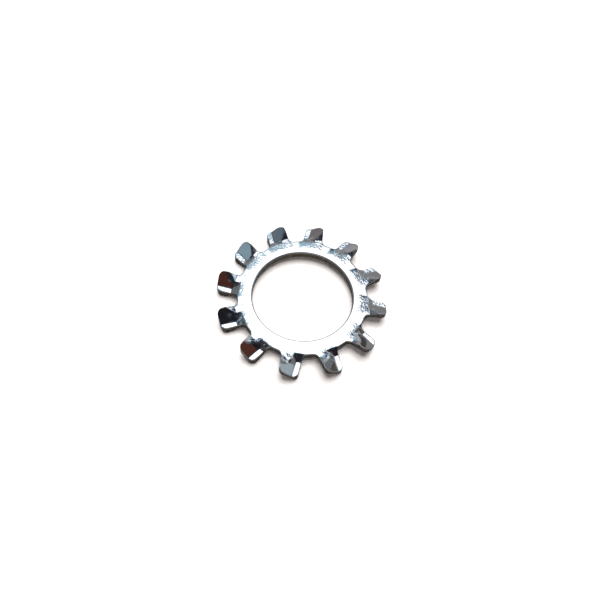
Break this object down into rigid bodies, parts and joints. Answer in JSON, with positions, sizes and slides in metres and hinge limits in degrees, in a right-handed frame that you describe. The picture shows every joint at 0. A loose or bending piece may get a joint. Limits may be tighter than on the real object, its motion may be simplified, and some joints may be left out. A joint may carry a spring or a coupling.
{
  "type": "toothed lock washer",
  "caption": "Flat steel lock washer whose outer rim is cut into twisted teeth that bite into the screw head and the joint face to stop a fastener from turning loose",
  "frame": {"origin": "on the washer's axis, level with the lowest edges of the teeth that it stands on", "axes": "+Z is the washer's axis and points up, and +X runs along the middle of one tooth"},
  "size_m": [0.018, 0.018, 0.0019],
  "materials": {
    "zinc_plated_steel": "bright zinc plate with a faint blue tint, glossy on the pressed faces and duller on the cut edges"
  },
  "bodies": {
    "root": {"lock_washer": "zinc_plated_steel"}
  },
  "joints": []
}
